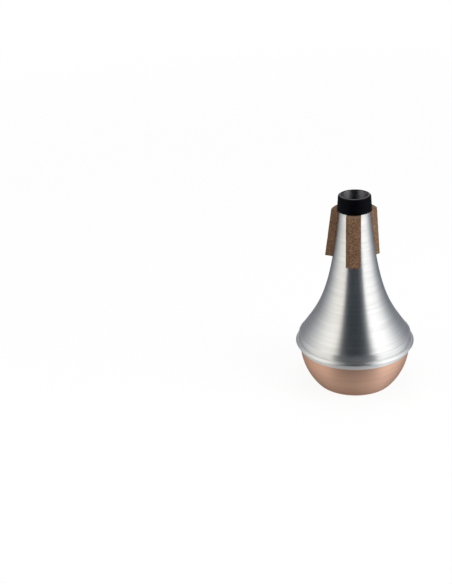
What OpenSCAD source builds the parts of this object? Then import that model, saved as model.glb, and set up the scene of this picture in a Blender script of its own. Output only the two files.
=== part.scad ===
// Straight mute for a trumpet, standing on its base cap with its axis on Z.
// A spun shell and a spun cap are flared where they meet, and one rolled hoop holds
// both flares. A rubber collar grips the throat, and three cork strips seat in the bell.

/* [Base cap] */
// Diameter of the flat end face, measured to the corner before it is rounded
base_d = 55.4; // [46:0.2:64]
// Largest diameter of the bowl, where its side stands upright
bowl_d = 78.8; // [72:0.2:79.6]
// Height at which the side of the bowl stands upright
bowl_h = 30; // [28.5:0.5:36]
// Inside bend radius at the edge of the end face
base_bend_r = 0.7; // [0.3:0.1:3]
// Thickness of the copper sheet
cap_wall = 0.6; // [0.4:0.05:1]

/* [Rim joint] */
// Height of the plane where the two flares meet
seam_z = 32.1; // [31:0.1:36]
// Outside diameter of the two flares
flare_d = 83.5; // [82:0.1:88]
// Drop from the seam to the hoop's lower grip on the bowl
hoop_drop = 4; // [2.5:0.1:6]
// Rise from the seam to the hoop's upper grip on the skirt
hoop_rise = 2.1; // [1.4:0.1:3]
// Thickness of the hoop sheet
hoop_wall = 0.75; // [0.4:0.05:1.2]

/* [Shell] */
// Height of the shell from the seam to the upright neck at its throat
shell_h = 109; // [95:1:130]
// Diameter of the upright skirt above the hoop
skirt_d = 80.8; // [79.6:0.1:81.6]
// Height of the skirt from the seam to where it starts to lean in
skirt_h = 4.3; // [3.4:0.1:5.4]
// Height of the leaning part of the skirt
crown_h = 2.35; // [1.4:0.05:4]
// Amount that the skirt leans in over that height
crown_lean = 0.35; // [0.05:0.05:0.8]
// Width of the step from the skirt in to the horn
step_w = 0.75; // [0.4:0.05:1.2]
// Height of that step
step_h = 0.35; // [0.1:0.05:0.8]
// Lean of the horn at its foot, from upright
horn_foot_lean = 33.7; // [26:0.1:40]
// Length of the foot lean up the horn curve
horn_foot_l = 24.2; // [14:0.2:36]
// Lean of the horn at its throat, from upright
horn_throat_lean = 4.7; // [2:0.1:9]
// Length of the throat lean down the horn curve
horn_throat_l = 73.6; // [55:0.2:90]
// Outside diameter of the upright neck
throat_d = 20.3; // [19.6:0.1:21.6]
// Length of the upright neck, up to the cut edge of the throat
neck_l = 1.5; // [1:0.1:4]
// Thickness of the aluminium sheet
shell_wall = 0.7; // [0.5:0.05:0.9]

/* [Throat collar] */
// Height of the collar
collar_h = 11; // [10:0.1:16]
// Thickness of the collar round the horn at its lower edge
collar_foot_t = 1.15; // [0.7:0.05:3]
// Thickness of the collar round the throat, before its top edge is rounded
collar_head_t = 1.2; // [1.1:0.05:3]
// Thickness of the lip over the throat edge
collar_web = 0.5; // [0.4:0.05:2]
// Radius of the collar's outer top edge
collar_outer_r = 1.2; // [0.2:0.1:1.2]
// Radius of the lip's inner top edge
collar_inner_r = 0.15; // [0.1:0.05:0.3]
// Radius of the collar's lower edge
collar_foot_r = 0.3; // [0.1:0.1:0.5]

/* [Cork strips] */
// Width of each strip
strip_w = 10; // [6:0.5:14]
// Length of each strip along the axis
strip_l = 35.5; // [24:0.5:46]
// Gap between the collar and the tops of the strips
strip_gap = 0.2; // [0.1:0.1:4]
// Thickness of each strip at its top
strip_head_t = 5.3; // [3:0.1:7]
// Thickness of the front strip at its foot
front_foot_t = 4.8; // [2.5:0.1:7]
// Thickness of the left strip at its foot
left_foot_t = 5.7; // [2.5:0.1:7]
// Thickness of the right strip at its foot
right_foot_t = 3.5; // [2.5:0.1:7]
// Turn of the front strip round the axis
front_turn = 267; // [250:1:285]
// Turn of the left strip round the axis
left_turn = 156; // [135:1:170]
// Turn of the right strip round the axis
right_turn = 35; // [15:1:50]
// Thickness of the cement under each strip
glue_t = 0.25; // [0.1:0.05:0.5]

/* [Hidden] */
$fn = 96;

// Steps along the horn, the side of the bowl and each small bend
horn_steps = 26;
bowl_steps = 14;
bend_steps = 5;
// Extra length of a shape that is cut back to its true size
margin = 2;

// Bends on the sheets' outer faces: where each flare leaves its wall, where the skirt starts
// to lean, at the top of the skirt, and at the foot of the horn
flare_bend_r = 0.35;
skirt_bend_r = 6;
crown_bend_r = shell_wall + step_h / 2;
foot_bend_r = step_h * 2;

// Heights on the axis
neck_z = seam_z + shell_h;
throat_z = neck_z + neck_l;
collar_top_z = throat_z + collar_web;
collar_foot_z = collar_top_z - collar_h;
strip_top_z = collar_foot_z - strip_gap;
strip_foot_z = strip_top_z - strip_l;

// Side of the bowl: one arc from the end face's corner up to where it stands upright
base_r = base_d / 2;
bowl_r = bowl_d / 2;
side_r = (pow(bowl_h, 2) + pow(bowl_r - base_r, 2)) / (2 * (bowl_r - base_r));
side_centre = [bowl_r - side_r, bowl_h];
side_foot_angle = -asin(bowl_h / side_r);
grip_angle = asin((seam_z - hoop_drop - bowl_h) / side_r);

// The hoop's inside: its lower grip on the bowl, its crest over both flares, its upper grip
low_grip = side_centre + polar(side_r, grip_angle);
crest = [flare_d / 2, seam_z];
high_grip = [skirt_d / 2, seam_z + hoop_rise];

// Horn curve from the step above the skirt to the neck
horn_foot = [skirt_d / 2 - crown_lean - step_w, seam_z + skirt_h + crown_h + step_h];
horn_throat = [throat_d / 2, neck_z];
horn_curve = [
    for (i = [0:horn_steps])
        bezier(horn_foot,
               horn_foot + polar(horn_foot_l, 90 + horn_foot_lean),
               horn_throat - polar(horn_throat_l, 90 + horn_throat_lean),
               horn_throat,
               i / horn_steps)
];

function polar(length, angle) = length * [cos(angle), sin(angle)];
function unit(v) = v / norm(v);
function left_of(v) = unit([-v.y, v.x]);
function heading(v) = atan2(v.y, v.x);
function bezier(a, b, c, d, t) =
    pow(1 - t, 3) * a + 3 * t * pow(1 - t, 2) * b + 3 * t * t * (1 - t) * c + pow(t, 3) * d;
function arc(centre, radius, from, to, steps) =
    [for (i = [0:steps]) centre + polar(radius, from + (to - from) * i / steps)];

// Radius of the horn's outside at a height
function horn_r(z) = lookup(z, [for (p = horn_curve) [p.y, p.x]]);

// Bend of a given radius at corner b of the path a, b, c
function bend(a, b, c, radius) =
    let (to_a = unit(a - b), to_c = unit(c - b), half = acos(to_a * to_c) / 2,
         centre = b + unit(to_a + to_c) * radius / sin(half),
         from = heading(b + to_a * radius / tan(half) - centre),
         to = heading(b + to_c * radius / tan(half) - centre),
         sweep = (to - from + 540) % 360 - 180)
    arc(centre, radius, from, from + sweep, bend_steps);

// Path of [r, z, bend radius] corners as [r, z] points, with each bend drawn
function bent(corners) =
    let (at = [for (p = corners) [p.x, p.y]], last = len(corners) - 1)
    [for (i = [0:last])
        each i == 0 || i == last || corners[i].z == 0 ? [at[i]]
            : bend(at[i - 1], at[i], at[i + 1], corners[i].z)];

// Path moved to its left by a distance, with its corners kept sharp
function beside(path, distance) = [
    for (i = [0:len(path) - 1])
        let (before = left_of(path[max(i, 1)] - path[max(i, 1) - 1]),
             after = left_of(path[min(i + 1, len(path) - 1)] - path[min(i, len(path) - 2)]),
             mid = unit(before + after))
        path[i] + mid * distance / (mid * before)
];

// Corners without a bend
function sharp(points) = [for (p = points) [p.x, p.y, 0]];

// Section of a sheet whose outer face follows the path
module sheet(path, wall) {
    inner = beside(path, wall);
    polygon(concat(path, [for (i = [len(inner) - 1:-1:0]) inner[i]]));
}

module shell_section() {
    flare_end = crest + unit(crest - high_grip) * margin;
    crown_foot = [skirt_d / 2, seam_z + skirt_h];
    crown_top = crown_foot + [-crown_lean, crown_h];
    difference() {
        sheet(bent(concat(
            sharp([flare_end]),
            [[high_grip.x, high_grip.y, flare_bend_r]],
            [[crown_foot.x, crown_foot.y, skirt_bend_r]],
            [[crown_top.x, crown_top.y, crown_bend_r]],
            [[horn_foot.x, horn_foot.y, foot_bend_r]],
            sharp([for (i = [1:horn_steps]) horn_curve[i]]),
            sharp([[horn_throat.x, throat_z + margin]])
        )), shell_wall);
        translate([0, seam_z - margin * 2]) square([flare_d, margin * 2]);
        translate([0, throat_z]) square([throat_d, margin * 2]);
    }
}

module cap_section() {
    flare_end = crest + unit(crest - low_grip) * margin;
    side = arc(side_centre, side_r, side_foot_angle, grip_angle, bowl_steps);
    difference() {
        sheet(bent(concat(
            [[0, 0, 0], [base_r, 0, cap_wall + base_bend_r]],
            sharp([for (i = [1:bowl_steps - 1]) side[i]]),
            [[low_grip.x, low_grip.y, flare_bend_r]],
            sharp([flare_end])
        )), cap_wall);
        translate([0, seam_z]) square([flare_d, margin * 2]);
    }
}

// The hoop's outer face runs one sheet outside its two grips and rounds the crest
module hoop_section() {
    low_out = -left_of(crest - low_grip);
    high_out = -left_of(high_grip - crest);
    polygon(concat(
        [high_grip, crest, low_grip, low_grip + low_out * hoop_wall],
        arc(crest, hoop_wall, heading(low_out), heading(high_out), bend_steps),
        [high_grip + high_out * hoop_wall]
    ));
}

// The collar is a sleeve on the horn, with a thin lip over the throat's cut edge. Its inside
// starts half way through the sheet, and the shell's own section cuts it to fit.
module collar_section() {
    throat_r = throat_d / 2;
    lip_r = throat_r - shell_wall;
    foot_r = horn_r(collar_foot_z);
    in_sheet = shell_wall / 2;
    difference() {
        polygon(bent([
            [lip_r, throat_z, 0],
            [lip_r, collar_top_z, collar_inner_r],
            [throat_r + collar_head_t, collar_top_z, collar_outer_r],
            [foot_r + collar_foot_t, collar_foot_z, collar_foot_r],
            [foot_r - in_sheet, collar_foot_z, 0],
            [throat_r - in_sheet, neck_z, 0],
            [throat_r - in_sheet, throat_z, 0]
        ]));
        shell_section();
    }
}

// Inside of the horn's outer face, grown by a distance
module horn_solid(grow) {
    face = beside(horn_curve, -grow);
    rotate_extrude() polygon(concat([[0, face[0].y]], face, [[0, face[horn_steps].y]]));
}

// Space of one strip between its two flat sides and its two ends
module strip_slot() {
    translate([0, -strip_w / 2, strip_foot_z]) cube([bowl_r, strip_w, strip_l]);
}

// The sanded outside of a strip is a cone from its foot to its top
module cork_strip(turn, foot_t) {
    foot_r = horn_r(strip_foot_z) + foot_t;
    head_r = horn_r(strip_top_z) + strip_head_t;
    color("peru") rotate(turn) difference() {
        intersection() {
            translate([0, 0, strip_foot_z]) cylinder(h = strip_l, r1 = foot_r, r2 = head_r);
            strip_slot();
        }
        horn_solid(glue_t);
    }
}

module glue_film(turn) {
    color("wheat") rotate(turn) difference() {
        intersection() {
            horn_solid(glue_t);
            strip_slot();
        }
        horn_solid(0);
    }
}

module shell() { color("silver") rotate_extrude() shell_section(); }
module base_cap() { color("sandybrown") rotate_extrude() cap_section(); }
module rim_hoop() { color("gainsboro") rotate_extrude() hoop_section(); }
module throat_collar() { color("dimgray") rotate_extrude() collar_section(); }
module cork_front() { cork_strip(front_turn, front_foot_t); }
module cork_left() { cork_strip(left_turn, left_foot_t); }
module cork_right() { cork_strip(right_turn, right_foot_t); }
module glue_front() { glue_film(front_turn); }
module glue_left() { glue_film(left_turn); }
module glue_right() { glue_film(right_turn); }

shell();
base_cap();
rim_hoop();
throat_collar();
cork_front();
cork_left();
cork_right();
glue_front();
glue_left();
glue_right();
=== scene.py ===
# %% [markdown]
# # A straight mute, dressed for the studio
#
# A straight mute is a spun aluminium horn on a spun copper bowl. A rolled hoop holds the two
# together, a rubber collar covers the edge of the throat, and three cork strips hold the mute in
# its place. The construction comes from the packed frame. This lesson gives each piece its
# surface, and then lights it the way bright metal is photographed: with soft lamps for everything
# that is dull, and with a light tent that the metal reflects as upright bands.

# %% Load the frame
import math

import bmesh
import bpy
from mathutils import Matrix, Vector, noise
from mathutils.kdtree import KDTree


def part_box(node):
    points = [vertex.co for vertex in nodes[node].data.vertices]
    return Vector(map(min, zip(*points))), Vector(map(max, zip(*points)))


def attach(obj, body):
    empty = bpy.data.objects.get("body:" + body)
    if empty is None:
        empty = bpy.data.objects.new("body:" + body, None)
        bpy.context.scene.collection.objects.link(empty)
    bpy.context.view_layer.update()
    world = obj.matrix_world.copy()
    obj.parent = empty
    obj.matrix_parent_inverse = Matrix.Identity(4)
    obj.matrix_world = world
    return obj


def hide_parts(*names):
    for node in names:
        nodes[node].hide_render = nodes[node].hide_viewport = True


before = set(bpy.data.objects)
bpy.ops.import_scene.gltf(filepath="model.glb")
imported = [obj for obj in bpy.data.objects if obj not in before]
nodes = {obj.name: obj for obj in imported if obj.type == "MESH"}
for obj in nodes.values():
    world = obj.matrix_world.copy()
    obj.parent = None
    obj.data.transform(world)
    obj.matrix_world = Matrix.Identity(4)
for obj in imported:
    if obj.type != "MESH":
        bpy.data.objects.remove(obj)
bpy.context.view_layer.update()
MM = 0.001

# %% [markdown]
# ## Reading a turned piece back from the frame
#
# Every metal piece here was spun on a lathe, so its whole shape is one outline turned round the
# axis. The packed mesh is made of rings of vertices, and a ring's vertices agree in radius and
# height. A fine grid could sort them, but a ring that lies on a border of the grid would fall into
# two cells. So a vertex first looks whether a neighbouring cell already is a ring.


# %% Sort vertices into rings
RING_GRID = 7.3e-6  # finer than any bend


def ring_cells(spots):
    """The grid cell of each spot's ring, and the place of each cell."""
    place = {}
    cells = []
    for r, z in spots:
        column, row = round(r / RING_GRID), round(z / RING_GRID)
        around = [(column + i, row + j) for i in (0, -1, 1) for j in (0, -1, 1)]
        cells.append(next((cell for cell in around if cell in place), around[0]))
        place.setdefault(cells[-1], (r, z))
    return cells, place


print("rings are told apart from", round(2 * RING_GRID / MM, 3), "mm on")

# %% [markdown]
# Two rings that share an edge are neighbours on the outline, so walking from ring to ring gives the
# outline back in order. Building on that outline keeps each dressed piece exactly where the frame
# has it, with no size typed twice.


# %% Walk the rings of a turned node
def turned_outline(node):
    """Ordered (radius, height) points of a turned node, and whether they close on themselves."""
    mesh = nodes[node].data
    cells, place = ring_cells([(math.hypot(v.co.x, v.co.y), v.co.z) for v in mesh.vertices])
    beside = {cell: set() for cell in place}
    for edge in mesh.edges:
        a, b = (cells[i] for i in edge.vertices)
        if a != b:
            beside[a].add(b)
            beside[b].add(a)
    ends = sorted(cell for cell in beside if len(beside[cell]) == 1)
    here = ends[0] if ends else min(beside)
    path = [here]
    while here is not None:
        ahead = sorted(cell for cell in beside[here] if cell not in path)
        here = ahead[0] if ahead else None
        path += ahead[:1]
    points = [Vector(place[cell]) for cell in path]
    return points, not ends


for turned in ("shell", "base_cap", "rim_hoop", "throat_collar"):
    found, closed = turned_outline(turned)
    print(turned, len(found), "rings,", "closed" if closed else "open at the axis")

# %% [markdown]
# ## Softening the edges of the sheet
#
# A real sheet has no knife edge: its corners are broken by the lathe and by handling, and that
# small round is what catches the light along a rim. Each sharp corner of the outline gets an arc,
# and every point carries its own outward direction. Those directions become the mesh's normals,
# so that a long smooth wall doesn't shade darker just because a tiny round follows it.

# %% Replace a corner by an arc
ROUND_STEPS = 5


def outward(direction):
    """Outside of a path that keeps its solid on the left."""
    return Vector((direction.y, -direction.x))


def corner_arc(corner, before, after, turn, radius, share):
    """(point, outward direction) pairs of an arc that takes up at most a share of either side."""
    half = abs(turn) / 2
    reach = min(radius * math.tan(half), min(before.length, after.length) * share)
    round_r = reach / math.tan(half)
    start = corner - before.normalized() * reach
    bulge = 1 if turn > 0 else -1
    centre = start - outward(before.normalized()) * round_r * bulge
    pairs = []
    for step in range(ROUND_STEPS + 1):
        spin = Matrix.Rotation(turn * step / ROUND_STEPS, 2)
        facing = spin @ outward(before.normalized())
        pairs.append((centre + facing * round_r * bulge, facing))
    return pairs


print("an arc has", ROUND_STEPS, "steps")

# %% [markdown]
# A rolled lip is round on its outside and still sharp where it sits on the sheet below, so the
# corners that face the axis may have a radius of their own. Two rounds that start on one side
# share it in the ratio of their radii.

# %% Round the corners of an outline
SHARP_TURN = math.radians(25)
MOST_OF_A_SIDE = 0.95  # two rounds together leave the rest of a side straight


def softened(points, closed, radius, seat_radius):
    """(point, outward direction) pairs along the outline, with its sharp corners rounded."""
    count = len(points)
    pairs = []
    for i, here in enumerate(points):
        if not closed and i in (0, count - 1):
            pairs.append((here, None))
            continue
        before = here - points[i - 1]
        after = points[(i + 1) % count] - here
        turn = -before.angle_signed(after)  # positive to the left, as at a corner of the solid
        middle = (outward(before.normalized()) + outward(after.normalized())).normalized()
        if abs(turn) < SHARP_TURN:
            pairs.append((here, middle))
            continue
        wanted = seat_radius if middle.x < 0 else radius
        share = MOST_OF_A_SIDE * wanted / (radius + seat_radius)
        pairs += corner_arc(here, before, after, turn, wanted, share)
    return pairs


print("corners sharper than", round(math.degrees(SHARP_TURN)), "degrees are rounded")

# %% [markdown]
# ## Turning an outline into a mesh
#
# Turning is the same in code as on a lathe: one copy of the outline at every step of the circle,
# with quads between neighbours. An open outline is carried on to the axis, where all the copies of
# a point are one vertex and the quads close to a fan. Each vertex also keeps whether it faces the
# axis, because the inside of a spun piece is never polished, and its finish makes it rougher there
# and paints it darker as painted shade.

# %% Turn the outline
TURN_STEPS = 192
INSIDE_FACING = -0.6  # a wall whose outward direction points this far to the axis is an inside


def carried_to_the_axis(pairs):
    """An open outline's pairs, with its two flat ends carried on to the axis."""
    first, last = pairs[0][0], pairs[-1][0]
    flat = 1 if first.y > last.y else -1
    return [(Vector((0, first.y)), Vector((0, flat))), (first, Vector((0, flat))), *pairs[1:-1],
            (last, Vector((0, -flat))), (Vector((0, last.y)), Vector((0, -flat)))]


def turned_mesh(name, pairs, closed):
    """Mesh of revolution round Z, shaded by the outline's own outward directions."""
    if not closed:
        pairs = carried_to_the_axis(pairs)
    poles = () if closed else (0, len(pairs) - 1)
    verts, facings, insides, numbers = [], [], [], {}
    for step in range(TURN_STEPS):
        angle = 2 * math.pi * step / TURN_STEPS
        across, along = math.cos(angle), math.sin(angle)
        for i, (p, n) in enumerate(pairs):
            if step and i in poles:
                numbers[step, i] = numbers[0, i]
                continue
            numbers[step, i] = len(verts)
            verts.append((p.x * across, p.x * along, p.y))
            facings.append((n.x * across, n.x * along, n.y))
            insides.append(float(n.x < INSIDE_FACING))
    faces = []
    for step in range(TURN_STEPS):
        beside = (step + 1) % TURN_STEPS
        for i in range(len(pairs) if closed else len(pairs) - 1):
            j = (i + 1) % len(pairs)
            corners = (numbers[step, i], numbers[beside, i], numbers[beside, j], numbers[step, j])
            faces.append(tuple(dict.fromkeys(corners)))
    mesh = bpy.data.meshes.new(name)
    mesh.from_pydata(verts, [], faces)
    mesh.shade_smooth()
    mesh.normals_split_custom_set_from_vertices(facings)
    mesh.attributes.new("inside", "FLOAT", "POINT").data.foreach_set("value", insides)
    return mesh


print("a turned piece has", TURN_STEPS, "facets round the axis")

# %% [markdown]
# Blender keeps an object apart from its data, and shows it only when a collection holds it. The
# pieces, the lamps, the floor and the camera all need the same two steps, so they share a helper.


# %% Put an object in the scene
def in_scene(name, data):
    """A new object with this data, which the scene holds."""
    made = bpy.data.objects.new(name, data)
    bpy.context.scene.collection.objects.link(made)
    return made


# %% [markdown]
# Three small steps make a piece of that mesh. The outline is put in order, so that its solid is on
# the left. Where a roller pressed a lip down, its highest corner slides down the face that leads
# up to it. The piece then rides on the mute's one body, and stands for the node it came from.


# %% Make a piece of it
def new_piece(name, mesh, material):
    """A piece on the root body that wears one material."""
    piece = in_scene(name, mesh)
    mesh.materials.append(material)
    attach(piece, "root")
    return piece


def left_hand_area(points):
    """Twice the area inside the outline, positive if it runs with its solid on the left."""
    pairs = zip(points, points[1:] + points[:1])
    return sum(a.x * b.y - b.x * a.y for a, b in pairs)


def pressed_lip(points, length):
    """The outline with its highest corner pressed down along the face that leads up to it."""
    top = max(range(len(points)), key=lambda i: points[i].y)
    sides = (points[top - 1], points[(top + 1) % len(points)])
    below = max(sides, key=lambda p: (p - points[top]).length)
    down = (below - points[top]).normalized() * length
    return [*points[:top], points[top] + down, *points[top + 1:]]


def turned_piece(name, node, material, radius, seat_radius=None, lip=0):
    """The dressed form of a turned node, which it then stands for."""
    points, closed = turned_outline(node)
    if left_hand_area(points) < 0:
        points.reverse()
    if lip:
        points = pressed_lip(points, lip)
    mesh = turned_mesh(name, softened(points, closed, radius, seat_radius or radius), closed)
    piece = new_piece(name, mesh, material)
    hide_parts(node)
    print(name, len(mesh.polygons), "faces")


# %% [markdown]
# ## Writing materials as expressions
#
# A finish is a formula: lines along the meridian, patches of polish, a little colour drift. It
# reads best as arithmetic, so a socket is wrapped in a small class whose operators add Math
# nodes. Numbers alone never meet it: Python works those out before any node is made.


# %% A socket that can be added and multiplied
class Wire:
    """A node's output in a finish."""

    def __init__(self, finish, socket):
        self.finish = finish
        self.socket = socket

    def maths(self, operation, first, second):
        """A Math node on two values, of which either may be a plain number."""
        return self.finish.node("ShaderNodeMath", {"operation": operation}, {0: first, 1: second})

    def __add__(self, other):
        return self.maths("ADD", self, other)

    def __sub__(self, other):
        return self.maths("SUBTRACT", self, other)

    def __rsub__(self, other):
        return self.maths("SUBTRACT", other, self)

    def __mul__(self, other):
        return self.maths("MULTIPLY", self, other)

    def __truediv__(self, other):
        return self.maths("DIVIDE", self, other)

    def __rtruediv__(self, other):
        return self.maths("DIVIDE", other, self)

    def __gt__(self, other):
        return self.maths("GREATER_THAN", self, other)

    def __lt__(self, other):
        return self.maths("LESS_THAN", self, other)

    __radd__ = __add__
    __rmul__ = __mul__


print("a wire takes + - * / > and <")

# %% [markdown]
# Every other node comes from one method, which takes the node's type, its settings and what goes
# into its sockets. Settings come first, because some of them change which sockets are live. The
# nodes that nearly every finish needs, such as noise and bump, have short names on top of it.


# %% A finish and its nodes
class Finish:
    """The node tree of a new material, or of a world."""

    def __init__(self, name, world=None):
        self.material = world or bpy.data.materials.new(name)
        self.material.use_nodes = True
        self.tree = self.material.node_tree
        self.tree.nodes.clear()

    def node(self, kind, settings=None, sockets=None, output=None):
        """Adds a node and returns its first live output, or the one named, as a Wire."""
        made = self.tree.nodes.new(kind)
        for name, value in (settings or {}).items():
            if name == "stops":
                self.set_stops(made.color_ramp, value)
            else:
                setattr(made, name, value)
        for key, value in (sockets or {}).items():
            live = made.inputs[key] if isinstance(key, int) else self.live(made.inputs, key)
            if isinstance(value, Wire):
                self.tree.links.new(value.socket, live)
            else:
                live.default_value = value
        return Wire(self, self.live(made.outputs, output)) if made.outputs else None

    @staticmethod
    def live(sockets, name):
        """The first socket that is in use, or the one of this name."""
        return next(s for s in sockets if s.enabled and name in (None, s.name))

    @staticmethod
    def set_stops(ramp, stops):
        """Gives a colour ramp its (position, colour) stops."""
        while len(ramp.elements) < len(stops):
            ramp.elements.new(1)
        for element, (position, colour) in zip(ramp.elements, stops):
            element.position = position
            element.color = colour

    def place(self):
        """The surface's own place, in metres."""
        return self.node("ShaderNodeTexCoord", output="Object")

    def height(self):
        """The surface's own height, in metres."""
        return self.node("ShaderNodeSeparateXYZ", sockets={0: self.place()}, output="Z")

    def round_the_axis(self):
        """The surface's own X, Y and Z, and its distance from the mute's axis."""
        place = self.place()
        x, y, z = (self.node("ShaderNodeSeparateXYZ", sockets={0: place}, output=axis)
                   for axis in "XYZ")
        return x, y, z, self.node("ShaderNodeMath", {"operation": "SQRT"}, {0: x * x + y * y})

    def kept(self, name):
        """A number that the mesh keeps at each vertex."""
        return self.node("ShaderNodeAttribute", {"attribute_name": name}, output="Fac")

    def clouds(self, place, scale, detail, output="Fac"):
        """Noise, as a number or as a colour, with a scale in clouds per metre."""
        sockets = {"Vector": place, "Scale": scale, "Detail": detail}
        return self.node("ShaderNodeTexNoise", sockets=sockets, output=output)

    def mixed(self, factor, a, b):
        """A colour between two colours."""
        return self.node("ShaderNodeMix", {"data_type": "RGBA"}, {"Factor": factor, "A": a, "B": b})

    def vectors(self, operation, *values):
        """Vector maths, which also multiplies colours."""
        sockets = dict(enumerate(values))
        return self.node("ShaderNodeVectorMath", {"operation": operation}, sockets, "Vector")

    def between(self, value, low, high, to_low=0.0, to_high=1.0, soft=False):
        """One level below a range and another above it, with a straight or a soft rise."""
        settings = {"interpolation_type": "SMOOTHSTEP" if soft else "LINEAR"}
        sockets = {"Value": value, "From Min": low, "From Max": high}
        sockets |= {"To Min": to_low, "To Max": to_high}
        return self.node("ShaderNodeMapRange", settings, sockets)

    def bump(self, height, strength, distance):
        """Normals for a height map, whose full height is a distance in metres."""
        sockets = {"Strength": strength, "Distance": distance, "Height": height}
        return self.node("ShaderNodeBump", sockets=sockets)

    def surface(self, **sockets):
        """Ends the tree in a Principled shader. Underscores in a name stand for spaces."""
        named = {name.replace("_", " "): value for name, value in sockets.items()}
        shader = self.node("ShaderNodeBsdfPrincipled", sockets=named)
        self.node("ShaderNodeOutputMaterial", sockets={"Surface": shader})
        return self.material


print("a finish knows:", [name for name in vars(Finish) if not name.startswith("_")])

# %% [markdown]
# ## Spun metal
#
# Spinning and polishing leave fine grooves that run round the axis. Such grooves spread a
# reflection along the meridian and leave it crisp round the axis, which is why the photograph
# shows upright bands of light and dark on the horn. Two things make that finish: an anisotropic
# gloss turned a quarter from the default, and grooves whose height depends only on the place along
# the meridian. On the horn the radius falls as the height grows, so height minus radius grows
# steadily from rim to throat. On the bowl both grow, so there it is height plus radius.


# %% Lines that run round the axis
def spun_lines(finish, lean):
    """Place along the meridian, and place round it, which is all that a lathe's marks depend on."""
    x, y, z, radius = finish.round_the_axis()
    return (z + radius * lean) / MM, x / (radius + MM), y / (radius + MM)


def marks(finish, spun, pitch, streak, detail=3.0):
    """Noise in lines of about this pitch in mm, each streak fading after a share of a turn."""
    along, turn_x, turn_y = spun
    where = finish.node("ShaderNodeCombineXYZ", sockets={
        "X": turn_x * streak,
        "Y": turn_y * streak,
        "Z": along / pitch,
    })
    sockets = {"Vector": where, "Scale": 1.0, "Detail": detail, "Roughness": 0.6}
    return finish.node("ShaderNodeTexNoise", sockets=sockets, output="Fac")


print("lathe marks come from", spun_lines.__name__, "and", marks.__name__)

# %% [markdown]
# Three sizes of mark make up the metal: wide bands where the tool was moved on, the strokes of the
# polishing cloth, and fine grooves. Bands and polish set the tone, grooves and polish the height,
# and bands and grooves move the roughness a little either way. Inside, the sheet is as rough as it
# came off the lathe, and its colour is a dark grey, which is painted shade.

# %% Metal from the lathe
# painted shade: the dark grey of the inside faces, which are also rougher
DULL_AND_SHADED_INSIDE = (0.34, 0.34, 0.35, 1)
TONE_FROM, TONE_TO = 0.35, 0.65  # the range that the noise really covers
BANDS_IN_TONE = 0.45
GROOVES_IN_HEIGHT = 0.7
GROOVE_HEIGHT, GROOVE_STRENGTH = 8e-6, 0.7
NOISE_MIDDLE = 0.5
ROUGHER_BANDS, ROUGHER_GROOVES, ROUGHER_INSIDE = 0.18, 0.16, 0.2


def spun_metal(name, colour, dull_colour, roughness, anisotropy, edge_tint, lean):
    """Metal spun and polished on the lathe."""
    finish = Finish(name)
    spun = spun_lines(finish, lean)
    bands = marks(finish, spun, pitch=3.2, streak=0.35)
    grooves = marks(finish, spun, pitch=0.34, streak=1.6, detail=5.0)
    polish = marks(finish, spun, pitch=1.1, streak=0.8)
    tone = finish.between(
        bands * BANDS_IN_TONE + polish * (1 - BANDS_IN_TONE), TONE_FROM, TONE_TO)
    height = grooves * GROOVES_IN_HEIGHT + polish * (1 - GROOVES_IN_HEIGHT)
    # the inside faces get the dark grey as painted shade, and more roughness
    inside = finish.kept("inside")
    worn = (roughness + (NOISE_MIDDLE - bands) * ROUGHER_BANDS
            + (NOISE_MIDDLE - grooves) * ROUGHER_GROOVES)
    return finish.surface(
        Base_Color=finish.mixed(inside, finish.mixed(tone, dull_colour, colour), DULL_AND_SHADED_INSIDE),
        Metallic=1.0,
        Roughness=worn + inside * ROUGHER_INSIDE,
        Specular_Tint=edge_tint,
        Anisotropic=anisotropy,
        Anisotropic_Rotation=0.25,
        Normal=finish.bump(height, GROOVE_STRENGTH, GROOVE_HEIGHT),
    )


print("grooves are", round(GROOVE_HEIGHT / MM, 3), "mm deep")

# %% [markdown]
# The horn and the hoop are aluminium, which is nearly neutral, and whose reflection turns a little
# blue towards its outline. The bowl is copper under a thin lacquer: paler and browner than a
# polished pan, and with softer bands than the horn's. A dull tone and a bright one are mixed by the
# lathe's marks, and the hoop, which a roller pressed, is a little rougher than the horn.

# %% The three metals
horn_metal = spun_metal(
    "spun_aluminium",
    colour=(0.94, 0.94, 0.93, 1),
    dull_colour=(0.81, 0.81, 0.80, 1),
    roughness=0.39,
    anisotropy=0.92,
    edge_tint=(0.55, 0.58, 0.65, 1),
    lean=-1,
)
bowl_metal = spun_metal(
    "spun_copper",
    colour=(0.870, 0.560, 0.420, 1),
    dull_colour=(0.785, 0.500, 0.368, 1),
    roughness=0.55,
    anisotropy=0.55,
    edge_tint=(0.55, 0.50, 0.50, 1),
    lean=1,
)
hoop_metal = spun_metal(
    "rolled_aluminium",
    colour=(0.96, 0.96, 0.95, 1),
    dull_colour=(0.90, 0.90, 0.89, 1),
    roughness=0.47,
    anisotropy=0.76,
    edge_tint=(0.45, 0.48, 0.55, 1),
    lean=-1,
)
print("metals:", horn_metal.name, bowl_metal.name, hoop_metal.name)

# %% [markdown]
# ## Rubber
#
# The collar is moulded black rubber. It is nearly black, yet not flat: the skin is faintly grained
# and its gloss changes in patches. Hands pull the mute out by this end, which polishes the lip. A
# coat that fades in over the lip gives it that gloss, and leaves the wall matt.

# %% Moulded rubber
DARK_RUBBER, WORN_RUBBER = (0.0005, 0.0006, 0.0016, 1), (0.0013, 0.0015, 0.0032, 1)
SKIN_SCALE, HANDLING_SCALE = 5200.0, 260.0
GLOSS_FROM, GLOSS_TO = 0.5 * MM, 0.05 * MM  # below the top of the lip
lip_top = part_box("throat_collar")[1].z


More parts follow.
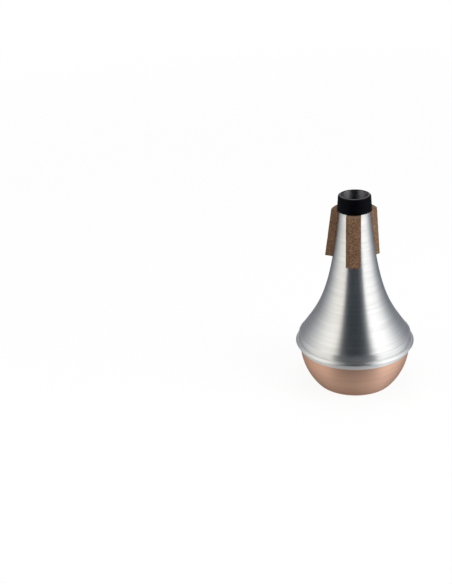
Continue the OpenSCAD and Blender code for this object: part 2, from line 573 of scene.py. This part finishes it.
def moulded_rubber():
    """Black rubber with a matt wall and a polished lip."""
    finish = Finish("black_rubber")
    place = finish.place()
    skin = finish.clouds(place, SKIN_SCALE, 3.0)
    handling = finish.clouds(place, HANDLING_SCALE, 4.0)
    lip = finish.between(finish.height(), lip_top - GLOSS_FROM, lip_top - GLOSS_TO, soft=True)
    return finish.surface(
        Base_Color=finish.mixed(handling, DARK_RUBBER, WORN_RUBBER),
        Roughness=0.40 + handling * 0.20,
        Specular_IOR_Level=0.05,
        Coat_Weight=lip * (0.45 + handling * 0.4),
        Coat_Roughness=0.14,
        Normal=finish.bump(skin, strength=0.35, distance=1e-5),
    )


collar_rubber = moulded_rubber()
print("rubber is glossy above", round((lip_top - GLOSS_FROM) / MM, 1), "mm")

# %% [markdown]
# ## Agglomerated cork
#
# These strips aren't cut from one slab. They are cork granules of half a millimetre to one and a
# half, pressed together with a dark binder and then sanded to a taper. Cells of a Voronoi pattern
# are the granules, and a finer pattern of cells speckles them with bits of bark.

# %% Granules
GRANULE_SCALE, BARK_SCALE = 1050.0, 2300.0


def granule_shade(finish, place, scale):
    """A number for each cell of a Voronoi pattern."""
    cells = finish.node("ShaderNodeTexVoronoi", None, {"Vector": place, "Scale": scale}, "Color")
    return finish.node("ShaderNodeSeparateColor", sockets={0: cells}, output="Red")


def granule_border(finish, place, scale):
    """The distance to the border of a cell."""
    return finish.node("ShaderNodeTexVoronoi", {"feature": "DISTANCE_TO_EDGE"},
                       {"Vector": place, "Scale": scale}, "Distance")


print("granules are about", round(1 / GRANULE_SCALE / MM, 2), "mm across")

# %% [markdown]
# The top ends are painted paler than the long faces, as painted light from above. A whole strip
# may be painted paler as well, as painted light from the brighter lamp on its side. Where a whole
# granule is missing, the mesh keeps how deep the pit is, and the pit is painted dark: painted
# shade.

# %% Pressed and sanded cork
CORK_TONES = [
    (0.00, (0.050, 0.024, 0.013, 1)),
    (0.22, (0.098, 0.050, 0.026, 1)),
    (0.50, (0.158, 0.085, 0.045, 1)),
    (0.78, (0.218, 0.126, 0.070, 1)),
    (1.00, (0.330, 0.205, 0.122, 1)),
]
BINDER = (0.062, 0.030, 0.016, 1)
# painted shade: the dark colour in the pits
PIT_PAINTED_SHADE = (0.040, 0.020, 0.012, 1)
# painted light: the paler colour of the strips' top ends
TOP_END_PAINTED_LIGHT = (0.300, 0.205, 0.135, 1)
GRANULES_IN_TONE, BARK_IN_TONE, SPECKLE_IN_TONE = 0.42, 0.36, 0.22
BINDER_WIDTH = 0.10  # of a granule
BEND_SCALE, BEND = 1400.0, (0.4 * MM,) * 3  # how granules' borders wander
SPECKLE_SCALE = 4200.0
# how far down the painted light on the top ends reaches, and how much of it there is
TOP_END_DEPTH, TOP_END_LIGHT_SHARE = 0.15 * MM, 0.3
# painted light: how much paler a strip on the brighter lamp's side is painted
PAINTED_LIGHT_GAIN = (1.80, 2.05, 2.35)
strip_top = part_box("cork_front")[1].z


def pressed_cork():
    """Granules in a dark binder."""
    finish = Finish("cork")
    place = finish.place()
    bend = finish.clouds(place, BEND_SCALE, 2.0, "Color")
    bent = finish.vectors("MULTIPLY_ADD", bend, BEND, place)
    speckle = finish.clouds(place, SPECKLE_SCALE, 3.0)
    shade = (granule_shade(finish, bent, GRANULE_SCALE) * GRANULES_IN_TONE
             + granule_shade(finish, bent, BARK_SCALE) * BARK_IN_TONE)
    tones = finish.node(
        "ShaderNodeValToRGB", {"stops": CORK_TONES}, {0: shade + speckle * SPECKLE_IN_TONE})
    granule = finish.between(granule_border(finish, bent, GRANULE_SCALE), 0.0, BINDER_WIDTH)
    pressed = finish.mixed(granule, BINDER, tones)
    painted_lighter = finish.vectors("MULTIPLY", pressed, PAINTED_LIGHT_GAIN)
    # painted light: a strip's share of the paler copy of the cork
    sheet = finish.mixed(finish.kept("pale"), pressed, painted_lighter)
    # painted light: the top ends are made paler
    top_end_light = (finish.height() > strip_top - TOP_END_DEPTH) * TOP_END_LIGHT_SHARE
    return finish.surface(
        # painted shade in the pits, by their depth
        Base_Color=finish.mixed(finish.kept("pit"), finish.mixed(top_end_light, sheet, TOP_END_PAINTED_LIGHT), PIT_PAINTED_SHADE),
        Roughness=0.95 - granule * 0.12,
        Specular_IOR_Level=0.25,
        Normal=finish.bump(granule * 0.5 + speckle * 0.5, strength=0.7, distance=0.1 * MM),
    )


strip_cork = pressed_cork()
# the top ends above this height are painted paler, as painted light
print("cork is cut paler above", round((strip_top - TOP_END_DEPTH) / MM, 1), "mm")

# %% [markdown]
# ## Contact cement
#
# Each strip sits on a film of contact cement, and a little squeezes out along its edges. Dried
# cement is amber where it is thick, dull where it is thin, and it wrinkles as it dries.

# %% Dried cement
DARK_AMBER, AMBER = (0.060, 0.032, 0.014, 1), (0.150, 0.085, 0.036, 1)
WRINKLE_SCALE = 1500.0


def dried_cement():
    """Amber cement with wrinkles."""
    finish = Finish("contact_cement")
    lumps = finish.clouds(finish.place(), WRINKLE_SCALE, 4.0)
    return finish.surface(
        Base_Color=finish.mixed(lumps, DARK_AMBER, AMBER),
        Roughness=0.42 + lumps * 0.3,
        Normal=finish.bump(lumps, strength=0.5, distance=0.08 * MM),
    )


cement = dried_cement()
print("other finishes:", collar_rubber.name, strip_cork.name, cement.name)

# %% [markdown]
# ## The metal and rubber pieces
#
# With the outlines and the finishes ready, each turned piece is one line. After the finish comes
# the radius to which its sheet edges are broken. The hoop's two lips are rolled over nearly their
# whole thickness, and stay sharp where they sit on the flares. The roller also pressed the upper
# lip down towards the skirt, so that no step is left for the light to catch.

# %% Turn the four pieces
LIP_ROUND, LIP_SEAT = 0.66 * MM, 0.06 * MM
LIP = 1.1 * MM  # how far down its own face the hoop's upper lip is pressed

turned_piece("horn_shell", "shell", horn_metal, 0.20 * MM)
turned_piece("copper_bowl", "base_cap", bowl_metal, 0.15 * MM)
turned_piece("rolled_hoop", "rim_hoop", hoop_metal, LIP_ROUND, LIP_SEAT, LIP)
turned_piece("rubber_collar", "throat_collar", collar_rubber, 0.12 * MM)

# %% [markdown]
# ## The cork strips
#
# A cork strip crumbles: whole granules break out along its edges, and a few are missing from its
# faces. A bump map can't change an outline, so these pits are cut into the mesh. The solid from the
# frame is first cut into small even quads by a voxel remesh, which leaves enough vertices to move.

# %% Cut a solid into small quads
CORK_VOXEL = 0.25 * MM


def small_quads(node):
    """The node's surface as even quads of one voxel's size."""
    rough = in_scene("rough", nodes[node].data.copy())
    rough.data.materials.clear()
    remesh = rough.modifiers.new("quads", "REMESH")
    remesh.mode = "VOXEL"
    remesh.voxel_size = CORK_VOXEL
    depsgraph = bpy.context.evaluated_depsgraph_get()
    quads = bpy.data.meshes.new_from_object(rough.evaluated_get(depsgraph))
    bpy.data.objects.remove(rough)
    quads.shade_smooth()
    return quads


print("quads of", CORK_VOXEL / MM, "mm")

# %% [markdown]
# Edges crumble more than faces do, so each vertex has to know how far it is from an edge. The
# remeshed surface has no clear edges left, and the solid from the frame still has them. Points set
# closely along them go into a search tree, which finds the nearest one quickly.

# %% Find the solid's sharp edges
EDGE_STEP = 0.1 * MM
EDGE_ANGLE = math.radians(30)
SAME_SPOT = 1e-6


def sharp_edges(node):
    """A search tree of points along the node's sharp edges."""
    solid = bmesh.new()
    solid.from_mesh(nodes[node].data)
    bmesh.ops.remove_doubles(solid, verts=solid.verts, dist=SAME_SPOT)
    points = []
    for edge in solid.edges:
        if len(edge.link_faces) == 2 and edge.calc_face_angle() > EDGE_ANGLE:
            a, b = (vert.co for vert in edge.verts)
            steps = math.ceil(edge.calc_length() / EDGE_STEP)
            points += [a.lerp(b, step / steps) for step in range(steps + 1)]
    solid.free()
    tree = KDTree(len(points))
    for i, point in enumerate(points):
        tree.insert(point, i)
    tree.balance()
    return tree


print("edges bend by more than", round(math.degrees(EDGE_ANGLE)), "degrees")

# %% [markdown]
# Space is divided into granules by a Voronoi pattern, which the mathutils library can ask at any
# point. A granule draws a lot that stays the same for all of its points. Nearly all granules stay
# in place, and lots decide which are missing: about one in forty on a face, and one in four along
# an edge. A pit is deepest at its granule's middle and fades towards a torn border, and some pits
# are shallower than others. Vertices on the glued side stay where they are, so that the strip
# keeps its seat.

# %% Let the granules crumble
GRANULE = 0.95 * MM
TORN, TORN_LENGTH = 0.30 * MM, 0.55 * MM  # how far, and how finely, a granule's outline wanders
PIT = 0.42 * MM
PIT_SLOPE = 0.35  # share of a granule over which its pit gets deep
SHALLOWER = 0.6  # what the shallowest pit lacks
LOST_ON_FACE, LOST_ON_EDGE = 0.022, 0.25
EDGE_REACH = 0.7 * MM
WAVE, WAVE_LENGTH = 0.07 * MM, 3.5 * MM
GLUED = -0.5  # a side whose normal points this far to the axis is glued
LOT_SPREAD = 9  # sends neighbouring granules to different cells of noise
CRUMB_SEED = 7  # noise_vector starts somewhere else on every run, unless it has a seed

noise.seed_set(CRUMB_SEED)


def as_share(value):
    """A value of noise, which is between -1 and 1, brought between 0 and 1."""
    return value * 0.5 + 0.5


def pit_share(spot, to_edge):
    """How deep the pit is here, from 0 for a granule in place to 1."""
    torn = spot + noise.noise_vector(spot / TORN_LENGTH) * TORN
    near, centres = noise.voronoi(torn / GRANULE)
    lot = as_share(noise.cell(centres[0] * LOT_SPREAD))
    lost = LOST_ON_FACE + LOST_ON_EDGE * max(1 - to_edge / EDGE_REACH, 0)
    border = min((near[1] - near[0]) / PIT_SLOPE, 1.0)
    return border * (1 - SHALLOWER * lot / lost) if lot < lost else 0.0


def crumble(mesh, edges):
    """Moves vertices in for missing granules and for uneven sanding, and keeps each pit's depth."""
    pits, moved = [], []
    for vertex in mesh.vertices:
        spot, normal = vertex.co.copy(), vertex.normal.copy()
        outwards = Vector((spot.x, spot.y, 0)).normalized()
        if outwards.dot(normal) < GLUED:
            pits.append(0.0)
            moved.extend(spot)
            continue
        pits.append(pit_share(spot, edges.find(spot)[2]))
        wave = WAVE * as_share(noise.noise(spot / WAVE_LENGTH))
        moved.extend(spot - normal * (PIT * pits[-1] + wave))
    mesh.vertices.foreach_set("co", moved)
    mesh.attributes.new("pit", "FLOAT", "POINT").data.foreach_set("value", pits)
    return sum(pit > 0 for pit in pits) / len(pits)


print("a pit is at most", PIT / MM, "mm deep")

# %% [markdown]
# Each strip is cut, crumbled, given its share of painted light and put in its node's place. The
# right one faces the brighter lamp, and is painted paler than the other two. The right one came
# from a paler sheet than the other two.

# %% Dress the three strips
# painted light: the share by which each strip is painted paler; the right one faces the brighter
# lamp
STRIP_PAINTED_LIGHT = {"front": 0.0, "left": 0.0, "right": 0.5}

for side, pale in STRIP_PAINTED_LIGHT.items():
    quads = small_quads("cork_" + side)
    pitted = crumble(quads, sharp_edges("cork_" + side))
    paleness = [pale] * len(quads.vertices)
    quads.attributes.new("pale", "FLOAT", "POINT").data.foreach_set("value", paleness)
    strip = new_piece("cork_strip_" + side, quads, strip_cork)
    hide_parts("cork_" + side)
    print(strip.name, len(quads.polygons), "faces,", round(pitted * 100, 1), "% of it pitted")

# %% [markdown]
# The films of cement are thin, and mostly hidden by the cork. Their solids from the frame already
# have the right shape, so they stay, and only change their material.

# %% Finish the cement films
for side in STRIP_PAINTED_LIGHT:
    film = nodes["glue_" + side]
    film.data.materials.clear()
    film.data.materials.append(cement)
    print(film.name, "wears", cement.name)

# %% [markdown]
# ## The floor and the backdrop
#
# Bright metal shows its surroundings and little else, so the set matters as much as the finishes.
# The mute stands on a white floor before a white backdrop. Both have to look white to the camera
# and in reflections without lighting the mute more, and a ray can be asked what it is for.

# %% White where it is seen
SEEN_BY = ("Is Camera Ray", "Is Glossy Ray", "Is Transmission Ray")


def seen_directly(finish):
    """1 for rays that show the surroundings: the camera's, and those from gloss or glass."""
    seen = [finish.node("ShaderNodeLightPath", output=ray) for ray in SEEN_BY]
    return (seen[0] + seen[1] + seen[2]) > 0.5


print("floor and backdrop are white to", len(SEEN_BY), "kinds of rays")

# %% [markdown]
# The floor also has to keep the mute's shadow, so it is a lit surface mixed with a plain white
# glow. The glow takes over with distance, and floor and backdrop meet without a line.

# %% The floor's finish
PALE = (0.92, 0.92, 0.92, 1)
WHITE = (1, 1, 1, 1)
NEAR_GLOW = 0.90  # share of plain white in the floor near the mute
NEAR, FAR = 0.35, 1.3

floor_finish = Finish("pale_floor")
lit = floor_finish.node("ShaderNodeBsdfDiffuse", sockets={"Color": PALE})
white = floor_finish.node("ShaderNodeEmission", sockets={"Color": WHITE, "Strength": 1.0})
glow = floor_finish.between(
    floor_finish.round_the_axis()[3], NEAR, FAR, to_low=NEAR_GLOW, to_high=1.0, soft=True)
floor_mix = floor_finish.node("ShaderNodeMixShader", sockets={
    0: seen_directly(floor_finish) * glow, 1: lit, 2: white})
floor_finish.node("ShaderNodeOutputMaterial", sockets={"Surface": floor_mix})
print("the floor is all white from", FAR, "m on")

# %% [markdown]
# The floor itself is one large square, with its middle under the mute.

# %% Lay the floor
FLOOR_SIZE = 12.0


def rectangle(side, front, back, height):
    """The corners of a level rectangle, which reaches as far to the left as to the right."""
    return [(x, y, height) for x, y in ((-side, front), (side, front), (side, back), (-side, back))]


floor_mesh = bpy.data.meshes.new("floor")
corners = rectangle(FLOOR_SIZE / 2, -FLOOR_SIZE / 2, FLOOR_SIZE / 2, 0)
floor_mesh.from_pydata(corners, [], [(0, 1, 2, 3)])
floor_mesh.materials.append(floor_finish.material)
floor = in_scene("floor", floor_mesh)
print("floor:", FLOOR_SIZE, "m square")

# %% [markdown]
# No wall stands behind the mute: the world is the backdrop. To dull surfaces it is a little soft
# fill from all sides, and wherever it is seen it is plain white.

# %% Hang the backdrop
SOFT_FILL = 0.55

world = bpy.data.worlds.new("studio")
bpy.context.scene.world = world
sky = Finish("studio", world)
soft_fill = sky.node("ShaderNodeBackground", sockets={"Color": WHITE, "Strength": SOFT_FILL})
backdrop = sky.node("ShaderNodeBackground", sockets={"Color": WHITE, "Strength": 1.0})
sky_mix = sky.node("ShaderNodeMixShader", sockets={
    0: seen_directly(sky), 1: soft_fill, 2: backdrop})
sky.node("ShaderNodeOutputWorld", sockets={"Surface": sky_mix})
print("the backdrop lights the set at", SOFT_FILL, "and is seen as white")

# %% [markdown]
# ## Soft lamps
#
# Cork, rubber and cement are dull, and lamps light them. Two large softboxes stand to the left and
# right of the camera, the right one brighter, and a third above and behind parts the top of the
# mute from the floor. Metal doesn't see them, because its reflections are set on their own below.

# %% Three softboxes
MIDDLE = Vector((0, 0, 70 * MM))  # of the mute, where lamps and camera aim
SOFTBOXES = {  # azimuth, elevation, distance, width, height, radiance
    "softbox_left": (-60, 30, 1.2, 0.9, 1.1, 1.5),
    "softbox_right": (65, 30, 1.2, 0.9, 1.1, 3.1),
    "softbox_top": (170, 75, 1.4, 0.8, 0.8, 1.6),
}


def direction(azimuth, elevation):
    """Unit vector away from the mute. Azimuth 0 is towards the camera, and right is positive."""
    a, e = math.radians(azimuth), math.radians(elevation)
    return Vector((math.sin(a) * math.cos(e), -math.cos(a) * math.cos(e), math.sin(e)))


for name, (azimuth, elevation, distance, width, height, radiance) in SOFTBOXES.items():
    lamp = bpy.data.lights.new(name, "AREA")
    lamp.shape = "RECTANGLE"
    lamp.size = width
    lamp.size_y = height
    lamp.energy = radiance * math.pi * width * height
    holder = in_scene(name, lamp)
    away = direction(azimuth, elevation)
    holder.location = MIDDLE + away * distance
    holder.rotation_mode = "QUATERNION"
    holder.rotation_quaternion = away.to_track_quat("Z", "Y")
    holder.visible_camera = False
    holder.visible_glossy = False
    print(name, round(lamp.energy, 2), "W")

# %% [markdown]
# ## The light tent
#
# Photographers put bright metal in a tent of white fabric and let parts of it go dark. Here the
# tent is a dome that only reflections see. Its shade depends on the direction from the mute: black
# round the camera, bright on both sides of it, and grey at the back corners, which draws the dark
# outlines of the horn against the white floor. Near the floor the tent is more even, because the
# floor fills it with light, and the side of the stronger lamp is brighter there too.

# %% Shades of the tent
TENT_ROUND = [  # azimuth, shade
    (-180, (1.00, 1.00, 1.00)),
    (-171, (0.80, 0.80, 0.81)),
    (-160, (0.28, 0.29, 0.31)),
    (-128, (0.36, 0.37, 0.39)),
    (-105, (0.64, 0.65, 0.66)),
    (-85, (0.97, 0.965, 0.94)),
    (-68, (1.13, 1.10, 1.04)),
    (-40, (1.11, 1.08, 1.01)),
    (-34, (0.020, 0.033, 0.048)),
    (36, (0.020, 0.033, 0.048)),
    (43, (1.46, 1.46, 1.46)),
    (84, (1.38, 1.38, 1.38)),
    (96, (1.04, 1.06, 1.08)),
    (111, (0.64, 0.66, 0.69)),
    (130, (0.37, 0.39, 0.425)),
    (160, (0.28, 0.295, 0.32)),
    (171, (0.80, 0.80, 0.81)),
    (180, (1.00, 1.00, 1.00)),
]
NEAR_FLOOR = [  # azimuth, shade
    (-180, (0.50, 0.50, 0.50)),
    (-95, (0.26, 0.26, 0.26)),
    (-60, (0.41, 0.42, 0.43)),
    (-40, (0.55, 0.56, 0.57)),
    (0, (0.58, 0.575, 0.57)),
    (42, (0.87, 0.90, 0.93)),
    (62, (0.57, 0.60, 0.63)),
    (86, (0.20, 0.20, 0.20)),
    (120, (0.20, 0.20, 0.20)),
    (180, (0.50, 0.50, 0.50)),
]
print("shades round the tent:", len(TENT_ROUND), "and near the floor:", len(NEAR_FLOOR))

# %% [markdown]
# Two more tables go by elevation: how bright the tent is from the floor up, and how far the even
# shade near the floor reaches up.

# %% Levels of the tent
TENT_UPWARD = [  # elevation, level
    (-66, 0.42),
    (-54, 0.86),
    (-40, 1.12),
    (-28, 1.10),
    (-12, 0.72),
    (0, 0.70),
    (25, 0.97),
    (52, 1.27),
]
TENT_EVEN = [(-50, 1.0), (-36, 0.40), (-20, 0.08), (0, 0.0)]  # elevation, share of NEAR_FLOOR
print("the tent is brightest", max(TENT_UPWARD, key=lambda stop: stop[1])[0], "degrees up")

# %% [markdown]
# A colour ramp has its stops between 0 and 1, and a direction's angle comes from its two sides by
# an arctangent. One helper turns the angle and the stops' degrees into the ramp's own scale.

# %% The tent's fabric
TENT_MIDDLE = 60 * MM  # height from which the tent's elevations are measured
FULL_TURN = 360


def by_angle(finish, opposite, beside, stops):
    """A ramp over the angle of a direction, with its stops in degrees."""
    angle = finish.node("ShaderNodeMath", {"operation": "ARCTAN2"}, {0: opposite, 1: beside})
    placed = [(degrees / FULL_TURN + 0.5, (*shade, 1)) for degrees, shade in stops]
    return finish.node("ShaderNodeValToRGB", {"stops": placed}, {0: angle / (2 * math.pi) + 0.5})


def greys(stops):
    """Stops with a grey shade for each level."""
    return [(degrees, (level,) * 3) for degrees, level in stops]


def tent_fabric():
    """Glow by azimuth and elevation, as seen from the middle of the mute."""
    finish = Finish("tent_fabric")
    x, y, z, reach = finish.round_the_axis()
    rise = z - TENT_MIDDLE
    high = by_angle(finish, x, 0 - y, TENT_ROUND)
    low = by_angle(finish, x, 0 - y, NEAR_FLOOR)
    shade = finish.mixed(by_angle(finish, rise, reach, greys(TENT_EVEN)), high, low)
    level = by_angle(finish, rise, reach, greys(TENT_UPWARD))
    glow = finish.node("ShaderNodeEmission", sockets={
        "Color": finish.vectors("MULTIPLY", shade, level)})
    finish.node("ShaderNodeOutputMaterial", sockets={"Surface": glow})
    return finish.material


print("elevations are measured from", round(TENT_MIDDLE / MM), "mm above the floor")

# %% [markdown]
# A quarter circle swept round the set makes the dome, and its outline starts just outside the foot
# of the mute, so that the metal sees the tent's light on the floor as well.

# %% Hang the tent
TENT_REACH = 1.6
TENT_FOOT = (28.5 * MM, 0.4 * MM)  # reach and height of its start on the floor
SWEEP_STEPS, ARC_STEPS = 54, 12


def reflected_only(name, verts, faces, material):
    """A part of the set that only reflections show."""
    mesh = bpy.data.meshes.new(name)
    mesh.from_pydata(verts, [], faces)
    mesh.materials.append(material)
    part = in_scene(name, mesh)
    for rays in ("camera", "diffuse", "transmission", "shadow"):
        setattr(part, "visible_" + rays, False)
    print(name, len(faces), "faces, for reflections only")


quarter = [math.pi / 2 * step / ARC_STEPS for step in range(ARC_STEPS)]
outline = [TENT_FOOT, *((TENT_REACH * math.cos(t), TENT_REACH * math.sin(t)) for t in quarter)]
width = len(outline)
tent_verts = [direction(FULL_TURN * step / SWEEP_STEPS, 0) * reach + Vector((0, 0, height))
              for step in range(SWEEP_STEPS) for reach, height in outline]
tent_faces = []
for step in range(SWEEP_STEPS):
    here, there = step * width, (step + 1) % SWEEP_STEPS * width
    tent_faces += [(here + i, here + i + 1, there + i + 1, there + i) for i in range(width - 1)]
reflected_only("light_tent", tent_verts, tent_faces, tent_fabric())

# %% [markdown]
# The upright neck and the crown of the skirt look up past the camera. In the photograph their
# middle is as dark as the horn's, so a black flag hangs over the set from above the camera to just
# behind the mute.

# %% The roof flag
ROOF_HEIGHT = 1.0
ROOF_SIDE, ROOF_FRONT, ROOF_BACK = 0.45, -1.1, 0.15
ROOF_SHADE = (0.022, 0.026, 0.031, 1)

roof_finish = Finish("roof_flag")
roof_glow = roof_finish.node("ShaderNodeEmission", sockets={"Color": ROOF_SHADE})
roof_finish.node("ShaderNodeOutputMaterial", sockets={"Surface": roof_glow})
roof_verts = rectangle(ROOF_SIDE, ROOF_FRONT, ROOF_BACK, ROOF_HEIGHT)
reflected_only("roof_flag", roof_verts, [(0, 1, 2, 3)], roof_finish.material)

# %% [markdown]
# ## The camera
#
# The photograph looks down at the mute from the front, and the mute stands right of the middle.
# A lens shift would place it there, but the shift would stay when the camera moves to another
# side. Turning the camera about its own upright axis places it as well, and leaves no shift.

# %% Place the camera
PHOTO_W, PHOTO_H = 452, 584
AXIS_X, AIM_Y = 354.5, 291.1  # the photograph's pixel where the middle of the mute shows
VIEW_DISTANCE = 783.3 * MM
VIEW_ELEVATION = math.radians(25.03)
FOCAL_PIXELS = 1090
SENSOR = 36.0

camera = in_scene("camera", bpy.data.cameras.new("camera"))
bpy.context.scene.camera = camera
camera.data.sensor_width = SENSOR
camera.data.lens = FOCAL_PIXELS * SENSOR / PHOTO_H
back = Vector((0, -math.cos(VIEW_ELEVATION), math.sin(VIEW_ELEVATION)))
camera.location = MIDDLE + back * VIEW_DISTANCE
turn = math.atan((AXIS_X - PHOTO_W / 2) / FOCAL_PIXELS)
dip = math.atan((PHOTO_H / 2 - AIM_Y) / FOCAL_PIXELS)
straight = back.to_track_quat("Z", "Y").to_matrix()
aimed = straight @ Matrix.Rotation(turn, 3, "Y") @ Matrix.Rotation(-dip, 3, "X")
camera.rotation_mode = "QUATERNION"
camera.rotation_quaternion = aimed.to_quaternion()
print("lens in mm:", round(camera.data.lens, 2))
print("turned by", round(math.degrees(turn), 2), "degrees")

# %% [markdown]
# ## Plain colours
#
# The Standard view shows a colour about as it is written, so the finishes can be judged by their
# numbers.

# %% Plain colours
bpy.context.scene.view_settings.view_transform = "Standard"
